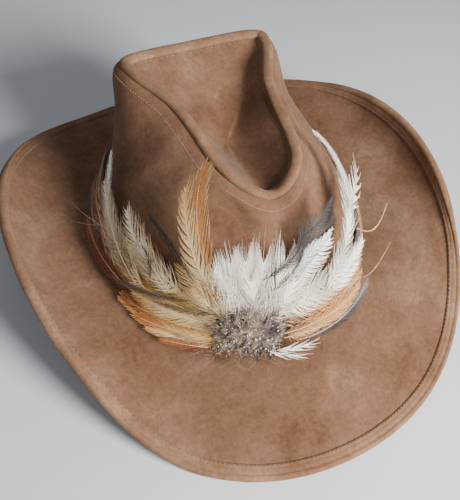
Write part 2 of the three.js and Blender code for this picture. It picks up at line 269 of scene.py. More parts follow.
def suede_material(name, dark, middle, light):
    """Napped suede: cloudy patches where the nap lies differently, fine grain and a soft sheen."""
    made, shader, place, _ = material(
        name, 0.95, Sheen_Weight=0.1, Sheen_Roughness=0.5, Specular_IOR_Level=0.06,
        Sheen_Tint=(0.95, 0.85, 0.76, 1))
    cloud = place.noise(13, 4, 0.55, 0.8).ramp(0.25, 0.75)
    patch = place.noise(48, 5, 0.62, 0.5).ramp(0.22, 0.78)
    fleck = place.noise(300, 3, 0.65)
    grain = place.noise(1000, 3, 0.7)
    nap = cloud * 0.36 + patch * 0.26 + fleck * 0.38
    shade = nap.ramp(0.1, 0.55).mix(dark, middle)
    shade = nap.ramp(0.45, 0.95).mix(shade, light)
    speck = (grain - 0.5) * 0.55 + (fleck - 0.5) * 0.2 + 1.0
    shade = shade.node("ShaderNodeVectorMath", {0: shade, "Scale": speck}, operation="SCALE")
    feed(shader, "Base Color", shade)
    bump(shader, grain * 0.7 + fleck * 0.5 + patch * 0.4, 0.55, 0.0006)
    return made


brown_suede = suede_material(
    "brown_suede", colour(84, 59, 43), colour(107, 80, 62), colour(134, 105, 86))


def worn_brim(u, v, off):
    """A suede `off` mm above the middle, with slight waves from wear, away from the buckram."""
    angle = 2 * math.pi * u
    point = Vector((math.cos(angle), math.sin(angle), v * 0.8))
    wave = 1.6 * v * (1 - v) * abs(noise.noise(point * 2.3))
    covered = brim_width(angle) - hidden_in_binding + hidden_under_crown
    return on_brim(angle, v * covered - hidden_under_crown, off + math.copysign(wave, off))


def upper_brim(u, v):
    return worn_brim(u, v, suede_off_middle)


def under_brim(u, v):
    return worn_brim(u, v, -suede_off_middle)


for name, place, node in (("upper_brim", upper_brim, "brim_top"),
                          ("under_brim", under_brim, "brim_under")):
    piece = cloth(name, place, 200, 48)
    piece.data.materials.append(brown_suede)
    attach(piece, "hat")
    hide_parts(node)

# --- Brim binding -------------------------------------------------------------------------------
# A strip of the same suede, folded over the wired edge and stitched through; it is coloured a
# little lighter than the brim, a painted highlight. The wire inside makes a bead along the edge,
# and the folded inner edge stands up from the brim beside its seam.

binding_width = 13
bead_radius = 3.3
leg_height = 2.55
floor_clearance = 0.05


def binding_section(v):
    """How far out and up: from the upper fold, round the bead, to the under fold."""
    side = 1 if v < 0.5 else -1
    t = abs(v - 0.5) * 2
    if t < 0.3:
        turn = t / 0.3 * math.radians(125)
        return bead_radius * math.cos(turn) - 1.2, side * bead_radius * math.sin(turn)
    along = (t - 0.3) / 0.7
    inward = -3.1 - along * (binding_width - 4.6)
    height = leg_height + 0.35 * smooth(along, 0, 0.2) + 0.25 * math.sin(along * math.pi)
    fold = -0.35 * math.exp(-(((along - 0.55) / 0.05) ** 2))
    tuck = -1.3 * smooth(along, 0.9, 1.0)
    return inward, side * (height + fold + tuck)


def binding_place(u, v):
    angle = 2 * math.pi * u
    outward, height = binding_section(v)
    wobble = 0.25 * noise.noise(Vector((math.cos(angle) * 9, math.sin(angle) * 9, v)))
    point = on_brim(angle, brim_width(angle) + outward, height + wobble * (1 if v < 0.5 else -1))
    point.z = max(point.z, floor_clearance)
    return point


# A lighter copy of the brown suede: the extra lightness is a painted highlight on the raised
# binding, welt, seam and keeper.
binding_suede = suede_material(
    "binding_suede", colour(92, 67, 49), colour(116, 88, 68), colour(148, 118, 96))
binding = cloth("folded_binding", binding_place, 300, 44)
binding.data.materials.append(binding_suede)
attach(binding, "hat")
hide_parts("brim_binding")

# --- Brim stiffener and wire --------------------------------------------------------------------
# A plate of buckram, coarse cotton stiffened with glue, lies between the two suedes, and a steel
# wire runs in the binding's fold.

buckram_thickness = 0.8
buckram_threads = 500.0
wire_radius = 1.1


def buckram_material():
    made, shader, place, _ = material("buckram_cloth", 0.85)
    warp = place.node("ShaderNodeTexWave", {"Vector": place, "Scale": buckram_threads},
                      bands_direction="X")
    weft = place.node("ShaderNodeTexWave", {"Vector": place, "Scale": buckram_threads},
                      bands_direction="Y")
    weave = warp * 0.5 + weft * 0.5
    tone = (weave * 0.6 + place.noise(60, 3) * 0.4).ramp(0.2, 0.8)
    feed(shader, "Base Color", tone.mix(colour(168, 154, 122), colour(208, 196, 166)))
    bump(shader, weave, 0.6, 0.0004)
    return made


def wire_material():
    made, shader, place, _ = material("steel_wire", 0.35, Metallic=0.9)
    scratch = place.noise(700, 3)
    feed(shader, "Base Color", scratch.mix(colour(120, 122, 124), colour(170, 172, 174)))
    feed(shader, "Roughness", scratch * 0.3 + 0.25)
    return made


def round_cord(name, line, radius, finish, node, around=240, sides=10):
    """A cord that runs once round the hat: line(angle, outward, upward) is its own section."""

    def place(u, v):
        turn = 2 * math.pi * v
        return line(2 * math.pi * u, radius * math.cos(turn), radius * math.sin(turn))

    piece = cloth(name, place, around, sides)
    piece.data.materials.append(finish)
    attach(piece, "hat")
    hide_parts(node)


def brim_buckram_place(u, v):
    angle = 2 * math.pi * u
    return on_brim(angle, v * brim_width(angle) - hidden_under_crown, buckram_thickness / 2)


def wire_line(angle, outward, upward):
    return on_brim(angle, brim_width(angle) - 1.45 + outward, upward)


buckram = buckram_material()
brim_buckram = cloth("brim_buckram", brim_buckram_place, 160, 16, buckram_thickness)
brim_buckram.data.materials.append(buckram)
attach(brim_buckram, "hat")
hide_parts("brim_stiffener")
round_cord("edge_wire", wire_line, wire_radius, wire_material(), "brim_wire")

# --- Crown side ---------------------------------------------------------------------------------
# One piece of suede wrapped upright from the head line, tapering to a round shoulder under the rim
# of the crease. Two fingers' worth of dent is pressed into its front corners.

# Half of the rim, from the front pinch to the back: mm to the side, back from the centre, and up.
rim_half = [
    (0, -40.5, 98.5), (12, -39.5, 104), (25, -27.5, 111), (31.5, -7, 115), (33.5, 12, 119),
    (39, 40, 125), (54, 70, 130.5), (50, 86.5, 129.5), (0, 91.5, 127),
]
rim_points = [Vector((x + crown_x, y + crown_y, z)) for x, y, z in rim_half]
rim_points += [Vector((crown_x - x, y + crown_y, z)) for x, y, z in rim_half[-2:0:-1]]
seam_from_rim = 3.65
dent_angle, dent_spread = 38, 17
dent_place, dent_height = 0.66, 0.17
dent_depth = 11


def rim(angle):
    """The crest of the crease's rim: a smooth closed curve through its points."""
    count = len(rim_points)
    turn = (angle / (2 * math.pi)) % 1 * count
    i = int(turn) % count
    t = turn - int(turn)
    before, first, second, after = (rim_points[(i + k) % count] for k in (-1, 0, 1, 2))
    out_of, into = (second - before) / 2, (after - first) / 2
    return (first + out_of * t + (3 * (second - first) - 2 * out_of - into) * t**2
            + (2 * (first - second) + out_of + into) * t**3)


def rim_frame(angle):
    along = (rim(angle + 0.06) - rim(angle - 0.06)).normalized()
    out = Vector((along.y, -along.x, 0)).normalized()
    return rim(angle), out, out.cross(along).normalized()


def crown_shape(angle, place):
    point, out, up = rim_frame(angle)
    base = head_line(angle)
    top = point + out * seam_from_rim - up
    shoulder = top + out * 12 - up * 5
    upright = Vector((base.x, base.y, (base.z + top.z) / 2))
    return bezier(base, upright, shoulder, top, place)


def crown_wall(angle, place):
    from_front = abs(math.atan2(math.sin(angle), math.cos(angle)))
    from_dent = (from_front - math.radians(dent_angle)) / math.radians(dent_spread)
    up_dent = (place - dent_place) / dent_height
    depth = dent_depth * math.exp(-from_dent**2 - up_dent**2)
    return crown_shape(angle, place) - rim_frame(angle)[1] * depth


def on_wall(angle, place, off):
    return crown_wall(angle, place) + normal_of(crown_wall, angle, place) * off


def crown_place(u, v):
    angle = 2 * math.pi * u
    point = Vector((math.cos(angle) * 1.5, math.sin(angle) * 1.5, v * 2))
    return on_wall(angle, 0.022 + v * 0.985, 0.5 * noise.noise(point * 2.2))


crown = cloth("crown_wall", crown_place, 240, 70)
crown.data.materials.append(brown_suede)
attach(crown, "hat")
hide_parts("crown_side")

# --- Crown tip ----------------------------------------------------------------------------------
# The top panel of suede, pressed down into a smooth bowl that runs from the two back corners to
# the pinch at the front.

bowl_floor = Vector((crown_x, crown_y + 24, 88))
suede_rounds = 90


def tip_surface(angle, place):
    point, out, up = rim_frame(angle)
    edge = point - out * seam_from_rim - up
    lip = edge - out * 7 - up * 3.5
    far = smooth((edge - bowl_floor).to_2d().length, 35, 85)
    slope = bowl_floor.lerp(edge, 0.5)
    slope.z = bowl_floor.z + 2 + 0.45 * far * (edge.z - bowl_floor.z)
    return bezier(bowl_floor, slope, lip, edge, place)


def on_tip(angle, place, off):
    down = normal_of(tip_surface, angle, max(place, 0.03))
    return tip_surface(angle, place) - down * (off if place > 0.001 else 0)


def tip_place(u, v):
    return on_tip(2 * math.pi * u, v, 0)


def soften(piece, rounds):
    """Rounds off sharp folds inside a sheet, leaving its edges where they are."""
    sheet = bmesh.new()
    sheet.from_mesh(piece.data)
    inner = [vert for vert in sheet.verts if not vert.is_boundary]
    for _ in range(rounds):
        bmesh.ops.smooth_vert(sheet, verts=inner, factor=0.5,
                              use_axis_x=True, use_axis_y=True, use_axis_z=True)
    sheet.to_mesh(piece.data)
    sheet.free()


tip = cloth("sunken_tip", tip_place, 200, 40)
soften(tip, suede_rounds)
tip.data.materials.append(brown_suede)
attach(tip, "hat")
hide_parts("crown_tip")

# --- Tip welt -----------------------------------------------------------------------------------
# The seam between side and tip, covered by a strip of suede rolled over a cotton cord, which
# makes the padded ridge round the crease.

welt_radius = 3.2
wider_inside = 0.55


def on_rim(angle, outward, upward):
    point, out, up = rim_frame(angle)
    return point + out * outward + up * upward


def welt_place(u, v):
    angle = 2 * math.pi * u
    turn = math.radians(-65 + 310 * v)
    radius = welt_radius + 0.15 * noise.noise(Vector((math.cos(angle) * 8, math.sin(angle) * 8, v)))
    inside = 1 + wider_inside * smooth(-math.cos(turn), 0, 1)
    return on_rim(angle, radius * inside * math.cos(turn), radius * math.sin(turn))


welt = cloth("rolled_welt", welt_place, 260, 20)
# The welt takes the lighter suede, a painted highlight on its ridge.
welt.data.materials.append(binding_suede)
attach(welt, "hat")
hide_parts("tip_welt")

# --- Welt cord and crown buckram ----------------------------------------------------------------
# A soft cotton cord fills the welt. Behind the suede of the side and tip, pieces of buckram are
# glued in and hold the crown's shape.

cotton, cotton_shader, cotton_place, _ = material("waxed_cotton", 0.6)
cotton_fleck = cotton_place.noise(700, 3)
cotton_tone = cotton_fleck.ramp(0.3, 0.7).mix(colour(104, 80, 54), colour(146, 118, 84))
feed(cotton_shader, "Base Color", cotton_tone)
bump(cotton_shader, cotton_fleck, 0.4, 0.0003)
welt_cord_radius = 1.9
round_cord("soft_welt_cord", on_rim, welt_cord_radius, cotton, "welt_cord")


def crown_buckram_place(u, v):
    return on_wall(2 * math.pi * u, 0.03 + 0.97 * v, -1.8)


def tip_buckram_place(u, v):
    return on_tip(2 * math.pi * u, v, -2.2)


for name, place, node in (("crown_buckram", crown_buckram_place, "crown_stiffener"),
                          ("tip_buckram", tip_buckram_place, "tip_stiffener")):
    piece = cloth(name, place, 200, 40)
    if node == "tip_stiffener":
        soften(piece, suede_rounds)
    piece.data.materials.append(buckram)
    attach(piece, "hat")
    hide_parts(node)

# --- Crown back seam ----------------------------------------------------------------------------
# The side panel's two ends meet in an upright seam at the back, pressed open and topstitched on
# both sides.

seam_width = 2.6


def seam_place(u, v):
    x = (u - 0.5) * seam_width
    return on_wall(math.pi + x / head_half_length, 0.03 + 0.95 * v, 0.75 - abs(x) * 0.55)


back_seam = cloth("crown_back_seam", seam_place, 6, 60)
# The seam takes the lighter suede, a painted highlight.
back_seam.data.materials.append(binding_suede)
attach(back_seam, "hat")

# --- Topstitching on the crown ------------------------------------------------------------------
# Two rows of pale thread run beside the welt, one just inside it on the tip and one on the crown
# side a finger's width below, and hold the seam flat.


def stitch_row(name, route, count, length, radius, thread, body):
    """A row of stitches along route(t), t from 0 to 1, each a short bead of thread."""
    row = bmesh.new()
    for i in range(count):
        here, ahead = route((i + 0.3) / count), route((i + 0.7) / count)
        turn = (ahead - here).to_track_quat("X", "Z").to_matrix().to_4x4()
        size = Matrix.Diagonal((length / 2 * MM, radius * MM, radius * MM, 1))
        at = Matrix.Translation((here + ahead) / 2 * MM)
        bmesh.ops.create_icosphere(row, subdivisions=1, radius=1, matrix=at @ turn @ size)
    piece = finished(name, row)
    piece.data.materials.append(thread)
    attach(piece, body)


def thread_material(name, dark, light):
    """Twisted sewing thread, its tone broken up by a fine fleck."""
    made, shader, place, _ = material(name, 0.6, Sheen_Weight=0.2)
    twist = place.noise(1800, 2)
    feed(shader, "Base Color", twist.ramp(0.35, 0.65).mix(dark, light))
    bump(shader, twist, 0.4, 0.0002)
    return made


pale_thread = thread_material("pale_thread", colour(136, 104, 80), colour(196, 160, 128))
stitch_row("tip_stitches", lambda t: on_tip(2 * math.pi * t, 0.93, 0.2), 190, 1.7, 0.2,
           pale_thread, "hat")
stitch_row("crown_stitches", lambda t: on_wall(2 * math.pi * t, 0.865, 0.12), 240, 1.6, 0.17,
           pale_thread, "hat")

back_stitch_distance = 4
for side in (-1, 1):
    beside = math.pi + side * back_stitch_distance / head_half_length
    stitch_row(f"back_seam_stitches_{side + 2}", lambda t: on_wall(beside, 0.04 + 0.9 * t, 0.4),
               52, 1.6, 0.17, pale_thread, "hat")

# --- Binding stitches ---------------------------------------------------------------------------
# A single row of brown thread, sewn by machine close to the binding's folded edge, holds it through
# the whole brim.

brown_thread = thread_material("brown_thread", colour(70, 48, 34), colour(120, 90, 66))
stitch_from_fold = 3.2


def binding_stitches(t):
    angle = 2 * math.pi * t
    return on_brim(angle, brim_width(angle) - binding_width + stitch_from_fold, 3.25)


stitch_row("binding_stitch_row", binding_stitches, 330, 2.4, 0.22, brown_thread, "hat")

# --- Lining -------------------------------------------------------------------------------------
# Brown satin inside the crown: a band round the side, gathered a little and sewn in with the
# sweatband, and a panel under the tip.

satin, satin_shader, satin_place, satin_uv = material("brown_satin", 0.38, Sheen_Weight=0.3)
yarn = satin_uv.node("ShaderNodeTexWave", {"Vector": satin_uv, "Scale": 260.0, "Distortion": 1.5})
satin_tone = satin_place.noise(30, 4).ramp(0.3, 0.7).mix(colour(58, 42, 34), colour(84, 63, 50))
feed(satin_shader, "Base Color", satin_tone)
feed(satin_shader, "Roughness", yarn * 0.12 + 0.32)
bump(satin_shader, yarn + satin_place.noise(90, 3) * 2, 0.25, 0.0003)

gathers = 60


def lining_side_place(u, v):
    angle = 2 * math.pi * u
    gather = 0.25 * math.sin(gathers * angle) * (1 - v)
    return on_wall(angle, 0.03 + 0.94 * v, -3.4 + gather)


def lining_tip_place(u, v):
    return on_tip(2 * math.pi * u, 0.96 * v, -4.2)


for name, place, node in (("satin_side", lining_side_place, "lining_side"),
                          ("satin_tip", lining_tip_place, "lining_tip")):
    piece = cloth(name, place, 200, 40)
    if node == "lining_tip":
        soften(piece, 60)
    piece.data.materials.append(satin)
    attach(piece, "hat")
    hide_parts(node)

# --- Sweatband ----------------------------------------------------------------------------------
# A strip of smooth leather inside the head line, sewn to a waxed reed along its lower edge, with a
# ribbon bow over its joint at the back and a plain cloth size tab above it.

hide, hide_shader, hide_place, _ = material("sweatband_hide", 0.5, Coat_Weight=0.08)
pore = hide_place.node("ShaderNodeTexVoronoi", {"Vector": hide_place, "Scale": 1100.0})
wear = hide_place.noise(24, 5, 0.6)
hide_tone = wear.ramp(0.3, 0.75).mix(colour(74, 47, 31), colour(116, 79, 54))
feed(hide_shader, "Base Color", hide_tone)
feed(hide_shader, "Roughness", wear * 0.25 + 0.38)
bump(hide_shader, pore, 0.35, 0.0003)
band_top = 0.43
inner_face, outer_face = -5.3, -4.4


def sweatband_place(u, v):
    """From the lower edge of the inner face, over the top edge and back down behind."""
    angle = 2 * math.pi * u
    t = abs(v - 0.5) * 2
    place = band_top - 0.455 * t**1.2
    return on_wall(angle, place, inner_face if v < 0.5 else outer_face)


sweatband = cloth("leather_sweatband", sweatband_place, 200, 31)
sweatband.data.materials.append(hide)
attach(sweatband, "hat")
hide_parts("sweatband")


def sweatband_stitches(t):
    return on_wall(2 * math.pi * t, 0.015, -5.5)


stitch_row("sweatband_stitch_row", sweatband_stitches, 230, 1.8, 0.22, brown_thread, "hat")


def reed_line(angle, outward, upward):
    outwards = normal_of(crown_wall, angle, 0)
    return head_line(angle) + Vector((0, 0, upward - 6)) + outwards * (outward - 4.65)


reed_radius = 1.1
round_cord("waxed_reed", reed_line, reed_radius, cotton, "sweatband_reed")

# --- Sweatband bow and size tab -----------------------------------------------------------------
# A small bow of ribbed ribbon covers the sweatband's joint at the back, and a plain woven tab is
# sewn above it.

ribbon, ribbon_shader, ribbon_place, _ = material("grosgrain", 0.6, Sheen_Weight=0.2)
rib = ribbon_place.node("ShaderNodeTexWave", {"Vector": ribbon_place, "Scale": 700.0},
                        bands_direction="X")
feed(ribbon_shader, "Base Color", rib.mix(colour(34, 25, 19), colour(58, 43, 33)))
bump(ribbon_shader, rib, 0.6, 0.0003)
back_inside = crown_y + 3 + head_half_length + inner_face
bow_depth = back_inside - 1.6
bow_height = head_height + 9


def bow_place(u, v):
    """The ribbon runs round two loops, crossing at the knot in the middle."""
    turn = 2 * math.pi * u
    wide = 1.3 + 2.7 * abs(math.sin(turn))
    x, depth = 8 * math.sin(turn), 0.9 * math.sin(2 * turn)
    return Vector((crown_x + x, bow_depth - depth, bow_height + (v - 0.5) * 2 * wide))


knot_width = 3.4


def knot_place(u, v):
    turn = 2 * math.pi * u
    x, depth = 1.6 * math.cos(turn), 1.3 * math.sin(turn)
    return Vector((crown_x + x, bow_depth - depth, bow_height + (v - 0.5) * knot_width))


tab_cloth, tab_shader, tab_place, _ = material("plain_tab_cloth", 0.8)
weave = tab_place.noise(1400, 2)
tab_tone = weave.ramp(0.3, 0.7).mix(colour(186, 176, 158), colour(222, 214, 198))
feed(tab_shader, "Base Color", tab_tone)
bump(tab_shader, weave, 0.5, 0.0002)
tab_length, tab_width = 18, 9


def tab_cloth_place(u, v):
    x = (u - 0.5) * tab_length
    depth = 0.004 * x * x
    return Vector((crown_x + x, back_inside - 2.6 - depth, head_height + 15.5 + tab_width * v))


for name, place, finish, node, slot, thickness in (
        ("ribbon_bow", bow_place, ribbon, "sweatband_bow", "ribbon", 0.3),
        ("bow_knot", knot_place, ribbon, None, "ribbon", 0.3),
        ("woven_tab", tab_cloth_place, tab_cloth, "size_tab", "label_cloth", 0.4)):
    piece = cloth(name, place, 60, 8, thickness)
    piece.data.materials.append(finish)
    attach(piece, "hat")
    if node:
        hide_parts(node)

# --- Band backing -------------------------------------------------------------------------------
# A strip of dark wool felt round the foot of the crown. The feathers are glued to it, and a suede
# keeper closes it at the back.


def height_columns(count=180, rows=34):
    """The crown's shape in columns of (height over the head line, point, outward normal)."""
    columns = []
    for i in range(count):
        angle = 2 * math.pi * i / count
        column = []
        for k in range(rows + 1):
            place = -0.08 + 1.08 * k / rows
            point = crown_shape(angle, place)
            column.append((point.z - head_height, point, normal_of(crown_shape, angle, place)))
        columns.append(column)
    return columns


crown_columns = height_columns()


def in_column(index, height):
    column = crown_columns[index % len(crown_columns)]
    k = 1
    while k < len(column) - 2 and column[k][0] < height:
        k += 1
    low, high = column[k - 1], column[k]
    t = (height - low[0]) / max(high[0] - low[0], 0.01)
    t = min(t, 1.5)
    return low[1].lerp(high[1], t), low[2].lerp(high[2], t)


def on_crown(angle, height, off):
    """A point `height` over the head line and `off` mm out from the crown, dents left out."""
    turn = angle / (2 * math.pi) * len(crown_columns)
    first = math.floor(turn)
    point_a, normal_a = in_column(first, height)
    point_b, normal_b = in_column(first + 1, height)
    t = turn - first
    return point_a.lerp(point_b, t) + normal_a.lerp(normal_b, t).normalized() * off


felt, felt_shader, felt_place, _ = material("wool_felt", 0.95, Sheen_Weight=0.4)
fibre = felt_place.noise(420, 6, 0.7, 1.2)
feed(felt_shader, "Base Color", fibre.ramp(0.3, 0.7).mix(colour(44, 32, 25), colour(78, 60, 47)))
bump(felt_shader, fibre, 0.6, 0.0006)


felt_foot, felt_width, felt_thickness = 5, 28, 1.4


def backing_place(u, v):
    return on_crown(2 * math.pi * u, felt_foot + felt_width * v, 4.1)


backing = cloth("felt_strip", backing_place, 180, 12, -felt_thickness)
backing.data.materials.append(felt)
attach(backing, "feather_band")
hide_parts("band_backing")


keeper_width, keeper_foot, keeper_length = 14, 3, 32
keeper_thickness = 1.3


def keeper_place(u, v):
    x, height = (u - 0.5) * keeper_width, keeper_foot + keeper_length * v
    round_off = 0.7 * (abs(u - 0.5) * 2) ** 8 + 0.7 * (abs(v - 0.5) * 2) ** 12
    return on_crown(math.pi + x / head_half_length, height, 7.2 - round_off)


keeper = cloth("suede_keeper", keeper_place, 24, 40, -keeper_thickness)
# The keeper takes the lighter suede, a painted highlight.
keeper.data.materials.append(binding_suede)
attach(keeper, "feather_band")
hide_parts("band_keeper")
keeper_stitch_distance = 5.4
for side in (-1, 1):
    beside = math.pi + side * keeper_stitch_distance / head_half_length
    stitch_row(f"keeper_stitches_{side + 2}",
               lambda t: on_crown(beside, felt_foot + felt_width * t, 7.4),
               14, 1.6, 0.2, pale_thread, "feather_band")

# --- Feathers: the front fan --------------------------------------------------------------------
# The showpiece: white and cream hackles fanned up from the front, one tall ginger feather, and two
# black ones. Each feather is a tapering shaft with separate barbs, soft and downy near its root.

first_layer, layer_pitch = 5.1, 1.7
turns_out_below = 7
barbs_in_clump = 9


def over_brim(angle, height, off):
    """A place for a barb: close to the brim it turns outwards and lies along the brim."""
    low = max(turns_out_below - height, 0)
    return on_crown(angle, height + low * 0.85 if low else height, off + 0.6 * low)


def feather_layer(root, tip, layer, curl=0.0, bow=0.0, roll=0.0):
    """Returns lay(along, across, lift) for a feather from root to tip, each (degrees, mm up)."""
    sideways = math.radians(tip[0] - root[0]) * head_half_length
    upwards = tip[1] - root[1]
    length = math.hypot(sideways, upwards)

    def lay(along, across, lift):
        s = along / length
        across += bow * math.sin(min(max(s, 0), 1) * math.pi)
        turned = (s * sideways + across / length * upwards) / head_half_length
        angle = math.radians(root[0]) + turned
        height = root[1] + s * upwards - across / length * sideways
        lift += curl * max(s, 0) ** 2 + roll * max(across * sideways / length, -3)
        return over_brim(angle, height, first_layer + layer * layer_pitch + lift)

    return lay, length


def add_vane(feathers, lay, length, width, barbs, seed,
             fluff=0.25, lean=42, steps=5, gaps=0.5, shape=2.6):
    """Adds one feather's barbs: a grid with every second row of faces left out."""
    chance = random.Random(seed)
    rows = 2 * barbs - 1
    made = bmesh.ops.create_grid(
        feathers, x_segments=steps, y_segments=rows, size=0.5, calc_uvs=True)
    gone = []
    for face in {face for vert in made["verts"] for face in vert.link_faces}:
        first = min(round((vert.co.y + 0.5) * rows) for vert in face.verts)
        if first % 2:
            gone.append(face)
    plan = []
    for k in range(barbs):
        s = 0.03 + 0.97 * k / barbs
        outline = min(1, (s / 0.3) ** 0.7) * (1 - s**shape) ** 0.6
        downy = smooth(fluff - s, 0, fluff * 0.7 + 0.01)
        reach = outline * chance.uniform(0.84, 1.08) + downy * chance.uniform(0.1, 0.8)
        tilt = lean * (1.15 - 0.45 * s) + chance.uniform(-4, 4) + downy * chance.uniform(-20, 30)
        clump = round(s * barbs / barbs_in_clump + chance.uniform(-0.3, 0.3))
        clump_place = clump * barbs_in_clump / barbs
        plan.append({
            "s": s, "side": 1 if k % 2 else -1, "reach": width / 2 * reach,
            "tilt": math.radians(tilt), "pull": (clump_place - s) * length * gaps,
            "rise": chance.uniform(-0.3, 0.6) + downy * chance.uniform(0, 2.5),
            "thick": (chance.uniform(0.8, 1.15) * 1.5 * length / barbs
                      * math.sin(math.radians(lean))),
        })
    for vert in made["verts"]:
        out = vert.co.x + 0.5
        row = round((vert.co.y + 0.5) * rows)
        barb = plan[row // 2]
        tilt = barb["tilt"] * (1 - 0.3 * out)
        reach = barb["reach"] * out / max(math.sin(barb["tilt"]), 0.45)
        edge = (row % 2 - 0.5) * barb["thick"] * (1 - 0.8 * out)
        along = (barb["s"] * length + reach * math.cos(tilt) + barb["pull"] * out
                 + edge * math.sin(tilt))
        across = barb["side"] * (reach * math.sin(tilt) - edge * math.cos(tilt))
        lift = 2 * out * (1 - out) * 0.5 + barb["rise"] * out * out
        vert.co = lay(along, across, lift) * MM
    bmesh.ops.delete(feathers, geom=gone, context="FACES")


def add_shaft(feathers, lay, length, radius, start=-0.02, end=0.93):
    """The feather's quill: a tapering half-round shaft on its upper side."""
    made = bmesh.ops.create_grid(feathers, x_segments=4, y_segments=16, size=0.5, calc_uvs=True)
    for vert in made["verts"]:
        s = start + (end - start) * (vert.co.y + 0.5)
        turn = math.pi * (vert.co.x + 0.5)
        thin = radius * (1.05 - s)
        vert.co = lay(s * length, thin * math.cos(turn), 0.35 + thin * math.sin(turn)) * MM


def feather_material(name, root, middle, tip, edge=None, streak=0.3, sheen=0.3):
    """Barbs coloured along the feather (UV y) and out along each barb (UV x), with fine streaks."""
    made, shader, place, uv = material(name, 0.62, Sheen_Weight=sheen, Specular_IOR_Level=0.35)
    out = uv.node("ShaderNodeSeparateXYZ", {"Vector": uv}, "X")
    along = uv.node("ShaderNodeSeparateXYZ", {"Vector": uv}, "Y")
    patch = place.noise(90, 4, 0.6)
    fine = place.noise(520, 3, 0.7)
    shade = (along + (patch - 0.5) * 0.5).ramp(0.05, 0.45).mix(root, middle)
    shade = (along + (patch - 0.5) * 0.5).ramp(0.5, 0.95).mix(shade, tip)
    if edge:
        shade = (out + (patch - 0.5) * 0.6).ramp(0.55, 0.95).mix(shade, edge)
    speck = (fine - 0.5) * streak * 2 + 1.0
    shade = shade.node("ShaderNodeVectorMath", {0: shade, "Scale": speck}, operation="SCALE")
    feed(shader, "Base Color", shade)
    feed(shader, "Roughness", fine * 0.25 + 0.48)
    bump(shader, fine, 0.3, 0.0003)
    return made


quill = feather_material(
    "quill", colour(176, 150, 118), colour(205, 186, 158), colour(226, 214, 194), sheen=0)
dark_quill = feather_material(
    "dark_quill", colour(70, 56, 46), colour(52, 42, 36), colour(38, 32, 30), sheen=0)


def feather_piece(node, finish, feathers, shaft=quill):
    """One mesh of barbs and one of quills for a tuft of like feathers.

    Each feather is (root, tip, layer, width, barbs, options)."""
    barbs_mesh, shaft_mesh = bmesh.new(), bmesh.new()
    for mesh in (barbs_mesh, shaft_mesh):
        mesh.loops.layers.uv.new("UVMap")
    for i, (root, tip, layer, width, barbs, options) in enumerate(feathers):
        options = dict(options)
        lay, length = feather_layer(root, tip, layer, options.pop("curl", 0), options.pop("bow", 0),
                                    options.pop("roll", 0))
        quill_radius = options.pop("quill", 0.24)
        seed = sum(ord(letter) for letter in node) * 31 + i
        add_vane(barbs_mesh, lay, length, width, barbs, seed, **options)
        if quill_radius:
            add_shaft(shaft_mesh, lay, length, quill_radius)
    for part, mesh, paint in (("_barbs", barbs_mesh, finish), ("_quills", shaft_mesh, shaft)):
        if not mesh.verts:
            mesh.free()
            continue
        piece = finished(node + part, mesh)
        piece.data.materials.append(paint)
        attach(piece, "feather_band")
        if part == "_barbs":
            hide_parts(node)


# The white down's darker cream root is partly the feathers' own tone and partly painted shade
# between the feathers.
white_down = feather_material(
    "white_down", colour(176, 168, 150), colour(226, 222, 206), colour(246, 243, 230), streak=0.26)
cream_down = feather_material(
    "cream_down", colour(146, 116, 82), colour(206, 184, 148), colour(228, 212, 184), streak=0.25)
ginger_hackle = feather_material(
    "ginger_hackle", colour(112, 72, 34), colour(160, 104, 44), colour(142, 84, 34),
    edge=colour(196, 156, 98), streak=0.4)
black_hackle = feather_material(
    "black_hackle", colour(26, 21, 20), colour(20, 17, 17), colour(34, 29, 29),
    edge=colour(17, 15, 15), streak=0.5, sheen=0.05)
gold_hackle = feather_material(
    "gold_hackle", colour(136, 110, 76), colour(196, 168, 116), colour(184, 140, 82), streak=0.4)

soft = {"fluff": 0.8, "gaps": 0.9}
full = {"fluff": 0.9, "gaps": 0.8, "lean": 50, "shape": 5}
neat = {"fluff": 0.15, "gaps": 0.45, "lean": 34}
sleek = {"fluff": 0.0, "gaps": 0.5, "lean": 27}

feather_piece("feather_ginger_upright", ginger_hackle, [
    ((-36, 34), (-59, 90), 4.6, 24, 110, {"gaps": 0.8, "lean": 38, "fluff": 0.1}),
])
feather_piece("feather_cream_behind", gold_hackle, [
    ((-35, 32), (-62, 80), 5.2, 22, 110, {"gaps": 0.9, "lean": 42, "fluff": 0.3}),
    ((-32, 28), (-52, 48), 4.2, 22, 110, soft),
    ((-30, 24), (-46, 40), 5.6, 20, 100, soft),
])
feather_piece("feather_fan_left", white_down, [
    ((-24, 30), (-40, 52), 4, 24, 120, full),
    ((-24, 30), (-34, 56), 3.2, 22, 120, full),
    ((-26, 26), (-44, 46), 4.6, 20, 100, full),
])
feather_piece("feather_fan_middle", white_down, [
    ((-22, 30), (-28, 57), 3.4, 24, 120, full),
    ((-21, 30), (-20, 56), 2.6, 24, 120, full),
    ((-22, 26), (-25, 48), 5.0, 24, 110, full),
])
feather_piece("feather_fan_right", white_down, [
    ((-20, 28), (-12, 55), 5, 22, 110, full),
    ((-18, 28), (-4, 51), 4.4, 22, 110, full),
    ((-20, 24), (-8, 44), 5.6, 22, 110, full),
])
feather_piece("feather_black_right", black_hackle, [
    ((-20, 50), (30, 73), 6.2, 15, 130, sleek),
    ((-16, 44), (25, 66), 5.6, 14, 120, sleek),
], dark_quill)

# --- Feathers: the right-hand spray -------------------------------------------------------------
# White hackles lie back along the crown on the wearer's left of the fan, over long peach and dark
# grey feathers, and two thin stripped wisps stand off them.

peach_hackle = feather_material(
    "peach_hackle", colour(124, 76, 40), colour(168, 114, 56), colour(184, 136, 84),
    edge=colour(204, 168, 116), streak=0.45)
grey_hackle = feather_material(
    "grey_hackle", colour(46, 44, 46), colour(66, 64, 68), colour(112, 110, 114), streak=0.5)
blue_white = feather_material(
    "blue_white", colour(150, 160, 164), colour(206, 214, 214), colour(226, 230, 228), streak=0.4)

